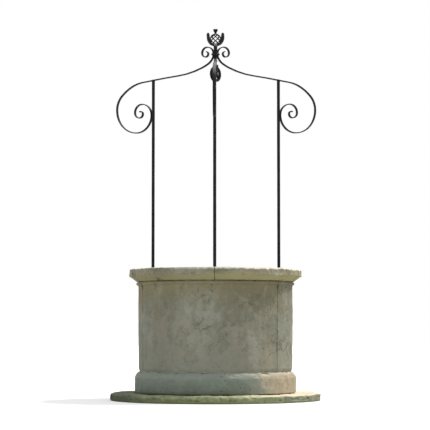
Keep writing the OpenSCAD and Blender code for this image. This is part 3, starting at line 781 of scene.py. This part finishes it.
crossing = Vector((POST_CIRCLE_R, 0, POST_TOP))
arm_lean = spin("Y", ARM_SLOPE)
arm_up = arm_lean @ Vector((0, 0, 1))
post_length = POST_TOP + 0.02 - POST_FOOT
rungs = [(POST_R, POST_FOOT + post_length * i / POST_RUNGS) for i in range(POST_RUNGS + 1)]
bar = turned_solid("post_bar", rungs, POST_SIDES)
apply_place(bar, move(POST_CIRCLE_R, 0, 0))
cut_away(bar, crossing - arm_up * (BAR_THICKNESS / 2 + 0.0003), (arm_up, True))
forge_marks = relief_texture("forge_marks", 0.06, 1)
displace(bar, forge_marks, 0.0008)
tenon = rivet_head("post_tenon", HEAD_R, HEAD_HEIGHT, TENON_R, BAR_THICKNESS + 0.004)
apply_place(tenon, move(*(crossing + arm_up * BAR_THICKNESS / 2)) @ arm_lean)
finish_three(join_pieces([bar, tenon], "post"), "post", "forged")


# Leads
# Molten lead poured round each post's foot in its hole in the coping, caulked with a blunt chisel, now dull.

LEAD_R = 0.0168
LEAD_IN_R = POST_R + 0.0004
LEAD_SIDES = 32

dull_lead = metal_material(
    "dull_lead", [(0.1, 0.1, 0.105), (0.19, 0.19, 0.19), (0.3, 0.3, 0.29)], 0.66, 0.35,
    160, 0.56, 0.002,
)
leads = []
for side, bearing in BEARINGS.items():
    lead = turned_ring(f"{side}_lead", [
        (LEAD_IN_R, POST_FOOT), (LEAD_R, POST_FOOT), (LEAD_R, coping_top - 0.004),
        (LEAD_R - 0.0008, coping_top), (LEAD_R - 0.002, coping_top + 0.001),
        (POST_R + 0.003, coping_top + 0.0018), (POST_R + 0.0012, coping_top + 0.0012),
        (LEAD_IN_R, coping_top - 0.001),
    ], LEAD_SIDES)
    displace(lead, weather_worn, 0.0012)
    apply_place(lead, move(*on_circle(POST_CIRCLE_R, bearing), 0))
    leads.append(lead)
finish_piece(join_pieces(leads, "post_leads_caulked"), "post_leads", "root", dull_lead)


# Arms
# Each arm is one flat bar, bent on a scroll fork: a small scroll at the neck, a straight run under the
# collar, a long arm over the post and a big scroll outside it. It is drawn in the X-Z plane, bend by bend.

STEM_R = 0.0125
COLLAR_Z = 2.312
COLLAR_HOLD = 0.008
ARM_SEAT_R = 0.0161
CURL_CROWN = (0.066, COLLAR_Z + 0.054)
CURL_R = 0.038
CURL_SHARE = 0.73
THROAT = (ARM_SEAT_R + 0.005, COLLAR_Z - 0.023)
KNEE = (ARM_SEAT_R + 0.086, COLLAR_Z - 0.082)
SHOULDER = (POST_CIRCLE_R + 0.166, POST_TOP - 0.029)
SCROLL_R = 0.168
SCROLL_SHARE = 0.69
SCROLL_FOOT = POST_TOP - 0.355
SCROLL_TOUCH_R = POST_CIRCLE_R + POST_R + BAR_THICKNESS / 2 + 0.0002
SCROLL_OUT = (SCROLL_TOUCH_R + SCROLL_R * (1 + SCROLL_SHARE), SCROLL_FOOT + SCROLL_R)
DEGREES_A_STEP = 6
BAR_EASE = 0.0012


def bend_to(point, heading, end):
    """The bend (turn in degrees, radius to the left) from a point and heading to an end point."""
    chord = math.degrees(math.atan2(end[1] - point[1], end[0] - point[0]))
    half = (chord - heading + 540) % 360 - 180
    return 2 * half, math.dist(point, end) / 2 / math.sin(math.radians(half))


def after_bend(point, heading, turn, radius):
    """Where a bend ends. A turn of 0 is a straight run of that length."""
    x, z = on_circle(radius, heading)
    if turn == 0:
        return (point[0] + x, point[1] + z), heading
    new_x, new_z = on_circle(radius, heading + turn)
    return (point[0] + new_z - z, point[1] - new_x + x), heading + turn


def two_bends(point, heading, end, end_heading):
    """Two bends that join two points and headings without a kink."""
    leave = Vector(on_circle(1, heading))
    arrive = Vector(on_circle(1, end_heading))
    gap = Vector(end) - Vector(point)
    a = 2 * (1 - leave.dot(arrive))
    b = 2 * gap.dot(leave + arrive)
    reach = (-b + math.sqrt(b * b + 4 * a * gap.dot(gap))) / (2 * a)
    middle = (Vector(point) + Vector(end) + reach * (leave - arrive)) / 2
    first = bend_to(point, heading, middle)
    there, new_heading = after_bend(point, heading, *first)
    return [first, bend_to(there, new_heading, end)]


def scroll_bends(radius, share, quarters, last_turn):
    """Quarter turns to the right, each tighter than the last by the same share."""
    turns = [-90] * (quarters - 1) + [-last_turn]
    return [(turn, -radius * share ** i) for i, turn in enumerate(turns)]


def draw_bar(name, point, heading, width, thickness, bends):
    """A flat bar with eased edges, drawn in the X-Z plane from a point through its bends."""
    bar = add_shape(bpy.ops.mesh.primitive_plane_add, name, size=1)
    apply_place(bar, move(point[0], 0, point[1]) @ spin("Y", 90 - heading)
                @ Matrix.Diagonal((thickness, width, 1, 1)))
    bpy.ops.object.mode_set(mode="EDIT")
    bpy.ops.mesh.select_all(action="SELECT")
    bpy.ops.mesh.bevel(affect="VERTICES", offset=BAR_EASE, segments=2)
    for turn, radius in bends:
        x, z = on_circle(radius, heading)
        if turn == 0:
            bpy.ops.mesh.extrude_region_move(TRANSFORM_OT_translate={"value": (x, 0, z)})
        else:
            steps = max(2, math.ceil(abs(turn) / DEGREES_A_STEP))
            bpy.ops.mesh.spin(steps=steps, angle=math.radians(turn), center=(point[0] - z, 0, point[1] + x),
                              axis=(0, 1, 0))
        point, heading = after_bend(point, heading, turn, radius)
    end_edit()
    return bar


curl_start = (ARM_SEAT_R, COLLAR_Z + COLLAR_HOLD)
curl_bends = two_bends(curl_start, 90, CURL_CROWN, 0) + scroll_bends(CURL_R, CURL_SHARE, 4, 90)
curl_end, curl_heading = curl_start, 90
for turn, radius in curl_bends:
    curl_end, curl_heading = after_bend(curl_end, curl_heading, turn, radius)
inward_bends = [(-turn, -radius) for turn, radius in reversed(curl_bends)]
arm_course = (
    ((ARM_SEAT_R, COLLAR_Z - COLLAR_HOLD), -90), (THROAT, -62), (KNEE, -21),
    ((POST_CIRCLE_R, POST_TOP), -ARM_SLOPE), (SHOULDER, -24), (SCROLL_OUT, -90),
)
arm_bends = []
for here, there in zip(arm_course, arm_course[1:]):
    arm_bends += two_bends(*here, *there)
arm_bends += scroll_bends(SCROLL_R, SCROLL_SHARE, 8, 40)
arm = draw_bar("arm", curl_end, curl_heading + 180, BAR_WIDTH, BAR_THICKNESS,
               inward_bends + [(0, 2 * COLLAR_HOLD)] + arm_bends)
displace(arm, forge_marks, 0.001)
finish_three(arm, "arm", "bent")


# Scroll rivets
# One rivet through each post and the big scroll that leans on it, its head hammered round outside the scroll.

RIVET_R = 0.003
RIVET_LENGTH = 0.016
RIVET_HEAD_R = 0.0065
RIVET_HEAD_HEIGHT = 0.003

rivet_seat = move(SCROLL_TOUCH_R + BAR_THICKNESS / 2 + 0.0005, 0, SCROLL_FOOT + SCROLL_R * SCROLL_SHARE)
rivets = []
for side, bearing in BEARINGS.items():
    rivet = rivet_head(f"{side}_rivet", RIVET_HEAD_R, RIVET_HEAD_HEIGHT, RIVET_R, RIVET_LENGTH)
    apply_place(rivet, spin("Z", bearing) @ rivet_seat @ spin("Y", 90))
    rivets.append(rivet)
finish_iron(join_pieces(rivets, "scroll_rivets_hammered"), "scroll_rivets")


# Stem
# A round bar between the three arms. Its foot is drawn out and bent into the eye that carries the pulley,
# and its top is shouldered down to the spindle that holds the finial.

HANGER_Z = 2.267
STEM_FOOT = 2.2785
STEM_SIDES = 32
NECK_Z = 2.355
SPINDLE_R = 0.008
EYE_R = 0.009
EYE_ROD_R = 0.004


def bent_eye(name, centre, turn):
    """A ring bent from rod, standing upright and turned by an angle in degrees from facing along Y."""
    ring = add_shape(bpy.ops.mesh.primitive_torus_add, name, major_radius=EYE_R, minor_radius=EYE_ROD_R,
                     major_segments=40, minor_segments=14)
    apply_place(ring, move(0, 0, centre) @ spin("Z", turn) @ spin("X", 90))
    displace(ring, forge_marks, 0.0006, 0.6)
    return ring


stem_bar = turned_solid("stem_bar", [
    (0.0065, STEM_FOOT - 0.004), (0.009, STEM_FOOT), (0.0115, STEM_FOOT + 0.004),
    (STEM_R, STEM_FOOT + 0.009), (STEM_R, COLLAR_Z - 0.02), (STEM_R, COLLAR_Z + 0.02),
    (STEM_R, NECK_Z - 0.0015), (STEM_R - 0.0015, NECK_Z), (SPINDLE_R, NECK_Z), (SPINDLE_R, NECK_Z + 0.016),
], STEM_SIDES)
finish_iron(join_pieces([stem_bar, bent_eye("hanger_eye", HANGER_Z, 0)], "stem_forged"), "stem")


# Arm collar
# A half-round band, put on hot round the three arms and the stem, so that it shrank tight as it cooled.

COLLAR_IN_R = 0.0223
COLLAR_HEIGHT = 0.014
COLLAR_THICKNESS = 0.007
COLLAR_SIDES = 64

collar_face = rounding((COLLAR_IN_R, COLLAR_Z), COLLAR_THICKNESS, COLLAR_HEIGHT / 2, -90, 90, 12)
collar = turned_ring("arm_collar_shrunk", collar_face, COLLAR_SIDES)
displace(collar, forge_marks, 0.0012, 0.6)
finish_iron(collar, "arm_collar")


# Neck bead
# A turned bead on the spindle, between the stem's shoulder and the finial; its paint has weathered to grey.

NECK_HEIGHT = 0.012
NECK_SIDES = 48

grey_iron = metal_material(
    "grey_iron", [(0.04, 0.041, 0.043), (0.115, 0.117, 0.12), (0.075, 0.04, 0.024)], 0.5, 0.2, 110, 0.62)
bead_face = rounding((SPINDLE_R + 0.0001, NECK_Z + NECK_HEIGHT / 2), STEM_R + 0.001 - SPINDLE_R,
                     NECK_HEIGHT / 2, -90, 90, 12)
neck_bead = turned_ring("neck_bead_turned", bead_face, NECK_SIDES)
finish_piece(neck_bead, "neck_bead", "root", grey_iron)


# Finial leaves
# Four leaves cut from one cup of sheet and raised with the hammer round the ball, each with a vein.

CUP_R = 0.072
LEAF_THICKNESS = 0.004
LEAF_EASE = 0.0008
LEAF_FOOT = NECK_Z + NECK_HEIGHT
LEAF_HEIGHT = 0.084
LEAF_WIDTH = 0.028
LEAF_ROWS = 14
LEAF_COLUMNS = 6
TIP_FROM = 0.82
CUP_FOOT_IN_R = SPINDLE_R + 0.0002

leaf_shells = []
for i in range(4):
    leaf = add_shape(bpy.ops.mesh.primitive_grid_add, f"leaf_{i + 1}", x_subdivisions=LEAF_ROWS,
                     y_subdivisions=LEAF_COLUMNS, size=1)
    for vertex in leaf.data.vertices:
        along = vertex.co.x + 0.5
        across = 2 * vertex.co.y
        angle = math.acos(1 - along * LEAF_HEIGHT / CUP_R)
        swell = 0.3 + 0.2 * min(1, along / 0.5)
        if along > TIP_FROM:
            swell *= math.sqrt(max(0, 1 - ((along - TIP_FROM) / 0.19) ** 2))
        side = across * swell * LEAF_WIDTH
        vein = 0.0016 * (1 - abs(across)) ** 3 + 0.0012 * across ** 2
        reach = (CUP_R - LEAF_THICKNESS / 2) + vein
        drop = math.sqrt(max(0, 1 - (side / reach) ** 2))
        vertex.co = (reach * math.sin(angle) * drop, side, LEAF_FOOT + CUP_R - reach * math.cos(angle) * drop)
    apply_modifier(leaf, "SOLIDIFY", thickness=LEAF_THICKNESS - LEAF_EASE, offset=0)
    apply_modifier(leaf, "BEVEL", width=LEAF_EASE, segments=2, limit_method="ANGLE")
    apply_modifier(leaf, "SUBSURF", levels=1, render_levels=1)
    apply_place(leaf, spin("Z", 45 + 90 * i))
    leaf_shells.append(leaf)
cup_foot = turned_ring("cup_foot", lifted([
    (CUP_FOOT_IN_R, 0), (0.015, 0.0008), (0.0172, 0.0028), (0.0165, 0.0056), (CUP_FOOT_IN_R, 0.0042),
], LEAF_FOOT), 40)
finish_iron(join_pieces(leaf_shells + [cup_foot], "finial_leaves_raised"), "finial_leaves")


# Finial ball
# Fourteen thin bars, seven each way, bent over a former and crossed over and under into a hollow ball.

BALL_R = 0.041
BALL_Z = 2.4122
BAR_R = 0.0028
BARS_EACH_WAY = 7
BAR_END_LATITUDE = 72
BAR_POINTS = 48
ROW_DEGREES = 22
WEAVE_DEPTH = 0.001
CAP_HEIGHT = 0.0052


def ball_bar(first_bearing, lean):
    """One bar of the ball, that goes over and under the bars that lean the other way."""
    curve = bpy.data.curves.new("ball_bar", "CURVE")
    curve.dimensions = "3D"
    curve.bevel_depth = BAR_R
    curve.bevel_resolution = 3
    curve.use_fill_caps = True
    spline = curve.splines.new("POLY")
    spline.points.add(BAR_POINTS)
    for i, point in enumerate(spline.points):
        latitude = BAR_END_LATITUDE * (2 * i / BAR_POINTS - 1)
        bearing = first_bearing + lean * 180 / BARS_EACH_WAY * latitude / ROW_DEGREES
        weave = WEAVE_DEPTH * math.cos(math.radians(180 * latitude / ROW_DEGREES)) * lean
        reach = BALL_R - BAR_R - WEAVE_DEPTH + weave
        out, up = on_circle(reach, latitude)
        point.co = (*on_circle(out, bearing), BALL_Z + up, 1)
    bar = add_object("ball_bar", curve)
    select_only(bar)
    bpy.ops.object.convert(target="MESH")
    bpy.ops.object.mode_set(mode="EDIT")
    end_edit(weld=True)
    return bar


ball_bars = [
    ball_bar(-90 + 360 / BARS_EACH_WAY * (i + 0.5), lean) for lean in (-1, 1) for i in range(BARS_EACH_WAY)
]
for pole, flip in ((-1, 180), (1, 0)):
    pole_cap = turned_solid("pole_cap", [
        (0.015, 0), (0.0165, 0.0012), (0.015, 0.003), (0.009, 0.0046), (0.002, CAP_HEIGHT),
    ], 32)
    apply_place(pole_cap, move(0, 0, BALL_Z + pole * (BALL_R - CAP_HEIGHT)) @ spin("X", flip))
    ball_bars.append(pole_cap)
finish_iron(join_pieces(ball_bars, "finial_ball_woven"), "finial_ball")


# Finial tuft
# A small flared cup of eight petals on a short neck, the last piece on top of the ball.

TUFT_Z = 2.4534
TUFT_R = 0.0164
TUFT_SIDES = 64
PETALS = 8
NOTCH_WIDTH = 0.24
NOTCH_PULL = 0.15
NOTCH_DROP = 0.002

tuft = turned_solid("finial_tuft_cut", lifted([
    (0.0066, 0), (0.0066, 0.003), (0.0088, 0.008), (0.0116, 0.013), (0.0144, 0.0185), (TUFT_R, 0.023),
    (TUFT_R, 0.0265), (0.015, 0.0292), (0.0125, 0.03), (0.008, 0.0276), (0.003, 0.0262),
], TUFT_Z), TUFT_SIDES)
for vertex in tuft.data.vertices:
    away = math.degrees(math.atan2(vertex.co.y, vertex.co.x)) * PETALS / 360 % 1
    notch = max(0, 1 - min(away, 1 - away) / NOTCH_WIDTH)
    flare = min(1, max(0, (vertex.co.z - TUFT_Z - 0.006) / 0.012))
    pull = 1 - NOTCH_PULL * notch * flare
    vertex.co.x *= pull
    vertex.co.y *= pull
    vertex.co.z -= NOTCH_DROP * notch * flare
apply_modifier(tuft, "SUBSURF", levels=1, render_levels=1)
finish_iron(tuft, "finial_tuft")


# Swivel eye
# The pulley's own eye, linked in the stem's. Its shank turns in the fork's crown and is riveted over below.

SWIVEL_RING_Z = 2.2573
SHANK_R = 0.0045
SHOULDER_Z = 2.2428
RIVET_HEAD_Z = 2.2322

shank_foot = lifted([(0.0068, 0), (0.008, 0.0012), (0.008, 0.0034), (SHANK_R, 0.004)], RIVET_HEAD_Z)
shank_top = lifted([(SHANK_R, 0), (0.007, 0), (0.007, 0.0022), (0.0055, 0.003), (0.0042, 0.005)], SHOULDER_Z)
shank = turned_solid("swivel_shank", shank_foot + shank_top, 28)
swivel_ring = bent_eye("swivel_ring", SWIVEL_RING_Z, 90)
finish_iron(join_pieces([shank, swivel_ring], "swivel_eye_forged"), "swivel_eye", "pulley_eye")


# Pulley fork
# A strap bent square over the wheel, bored for the swivel in its crown and for the axle in its round cheeks.

WHEEL_Z = 2.1777
FORK_TURN = -35
CHEEK_IN = 0.013
CHEEK_OUT = 0.018
FORK_WIDTH = 0.018
FORK_THICKNESS = 0.005
CROWN_TOP = 2.2425
CHEEK_END_R = 0.012
CHEEK_EASE = 0.0008
AXLE_R = 0.006
CORNER_R = 0.005
FIT = 0.0002


def eased_ring(name, inner_r, outer_r, low, high, ease_r, ease_z, sides):
    return turned_ring(name, [
        (inner_r, low), (outer_r - ease_r, low), (outer_r, low + ease_z), (outer_r, high - ease_z),
        (outer_r - ease_r, high), (inner_r, high),
    ], sides)


along_axle = move(0, 0, WHEEL_Z) @ spin("Z", FORK_TURN) @ spin("Y", 90)
cheek_middle = (CHEEK_IN + CHEEK_OUT) / 2
cheek_run = CROWN_TOP - FORK_THICKNESS / 2 - CORNER_R - WHEEL_Z
strap = draw_bar("strap", (-cheek_middle, WHEEL_Z), 90, FORK_WIDTH, FORK_THICKNESS, [
    (0, cheek_run), (-90, -CORNER_R), (0, 2 * (cheek_middle - CORNER_R)), (-90, -CORNER_R), (0, cheek_run),
])
apply_place(strap, spin("Z", FORK_TURN))
fork_parts = [strap]
for flip in (180, 0):
    boss = eased_ring("cheek_end", AXLE_R + FIT, CHEEK_END_R, CHEEK_IN, CHEEK_OUT, CHEEK_EASE, CHEEK_EASE, 40)
    apply_place(boss, along_axle @ spin("X", flip))
    fork_parts.append(boss)
finish_iron(join_pieces(fork_parts, "pulley_fork_bent"), "pulley_fork", "pulley_block")


# Axle, washer and split pin
# A headed pin through both cheeks, held by a washer and a split pin; greased once, now rubbed bright.

AXLE_HEAD_Z = 0.0183
AXLE_SIDES = 32
WASHER_R = AXLE_R + 0.004
PIN_R = 0.00125
PIN_Z = -0.02235
PIN_REACH = AXLE_R + 0.003

worn_iron = metal_material(
    "worn_iron", [(0.06, 0.055, 0.052), (0.22, 0.215, 0.21), (0.11, 0.048, 0.022)], 0.5, 0.75,
    200, 0.54, 0.0006,
)
axle = turned_solid("axle_turned", [
    (AXLE_R - 0.001, PIN_Z - 0.0032), (AXLE_R, PIN_Z - 0.0022), (AXLE_R, AXLE_HEAD_Z),
    (AXLE_R + 0.003, AXLE_HEAD_Z), (AXLE_R + 0.003, AXLE_HEAD_Z + 0.0028),
    (AXLE_R + 0.0016, AXLE_HEAD_Z + 0.004), (0.002, AXLE_HEAD_Z + 0.004),
], AXLE_SIDES)
washer = eased_ring("axle_washer_pressed", AXLE_R + FIT, WASHER_R, -0.0208, -0.0183, 0.0005, 0.0004,
                    AXLE_SIDES)
pin_face = [(0.0008, -PIN_REACH), (PIN_R, -PIN_REACH + 0.0008), (PIN_R, PIN_REACH)]
pin_leg = turned_solid("pin_leg", pin_face, 12)
apply_place(pin_leg, move(0, 0, PIN_Z) @ spin("X", -90))
pin_loop = add_shape(bpy.ops.mesh.primitive_torus_add, "pin_loop", major_radius=2 * PIN_R, minor_radius=PIN_R,
                     major_segments=24, minor_segments=10)
apply_place(pin_loop, move(0, PIN_REACH + 2 * PIN_R, PIN_Z))
split_pin = join_pieces([pin_leg, pin_loop], "split_pin_bent")
for piece, node in ((axle, "axle"), (washer, "axle_washer"), (split_pin, "split_pin")):
    apply_place(piece, along_axle)
    finish_piece(piece, node, "pulley_block", worn_iron)


# Pulley wheel
# A cast wheel with five spokes and a deep groove in its rim, turning on a bush of bronze.

WHEEL_R = 0.0515
WHEEL_SIDES = 72
HALF_WIDTH = 0.011
EDGE = 0.001
LIP = 0.0006
GROOVE_DEPTH = 0.011
GROOVE_MOUTH = 0.008
GROOVE_ROUND = 0.005
RIM_IN_R = 0.036
RIM_SLOPE_R = 0.003
RIM_SLOPE_Z = 0.004
HUB_R = 0.014
BUSH_R = 0.009
BUSH_IN_R = AXLE_R + 0.0001
BUSH_HALF_LENGTH = 0.012
BUSH_EASE = 0.0005
SPOKES = 5
SPOKE_TURN = 45
SPOKE_WIDTH = 0.01
SPOKE_THICKNESS = 0.008

cast_iron = metal_material(
    "cast_iron", [(0.0065, 0.0062, 0.006), (0.016, 0.0155, 0.015), (0.026, 0.017, 0.012)], 0.58, 0,
    260, 0.62, 0.0008, 0.18,
)
half_rim = [
    (WHEEL_R - LIP, GROOVE_MOUTH), (WHEEL_R, GROOVE_MOUTH + LIP), (WHEEL_R, HALF_WIDTH - EDGE),
    (WHEEL_R - EDGE, HALF_WIDTH), (RIM_IN_R + RIM_SLOPE_R, HALF_WIDTH), (RIM_IN_R, HALF_WIDTH - RIM_SLOPE_Z),
]
groove = rounding((WHEEL_R - GROOVE_DEPTH + GROOVE_ROUND, 0), GROOVE_ROUND, GROOVE_ROUND, -90, -270, 12)
rim = turned_ring("wheel_rim", [(r, -z) for r, z in reversed(half_rim)] + groove + half_rim, WHEEL_SIDES)
half_hub = [(HUB_R, HALF_WIDTH - EDGE), (HUB_R - EDGE, HALF_WIDTH), (BUSH_R + 0.0001, HALF_WIDTH)]
hub = turned_ring("wheel_hub", [(r, -z) for r, z in reversed(half_hub)] + [(HUB_R + EDGE, 0)] + half_hub, 40)
wheel_parts = [rim, hub]
for i in range(SPOKES):
    spoke = add_shape(bpy.ops.mesh.primitive_cube_add, "spoke", size=1)
    apply_place(spoke, move((HUB_R + RIM_IN_R) / 2, 0, 0)
                @ Matrix.Diagonal((RIM_IN_R - HUB_R + 0.003, SPOKE_WIDTH, SPOKE_THICKNESS, 1)))
    for vertex in spoke.data.vertices:
        vertex.co.y *= 1.15 if vertex.co.x < 0.02 else 0.85
    apply_modifier(spoke, "BEVEL", width=0.0025, segments=3, limit_method="ANGLE")
    apply_place(spoke, spin("Z", SPOKE_TURN + 360 / SPOKES * i))
    wheel_parts.append(spoke)
wheel = join_pieces(wheel_parts, "pulley_wheel_cast")
apply_place(wheel, along_axle)
finish_piece(wheel, "pulley_wheel", "wheel", cast_iron)

dull_bronze = metal_material(
    "dull_bronze", [(0.17, 0.105, 0.042), (0.4, 0.28, 0.12), (0.055, 0.06, 0.03)], 0.42, 0.85,
    300, 0.56, 0.0005,
)
bush = eased_ring("wheel_bush_turned", BUSH_IN_R, BUSH_R, -BUSH_HALF_LENGTH, BUSH_HALF_LENGTH, BUSH_EASE,
                  BUSH_EASE, 36)
apply_place(bush, along_axle)
finish_piece(bush, "wheel_bush", "wheel", dull_bronze)
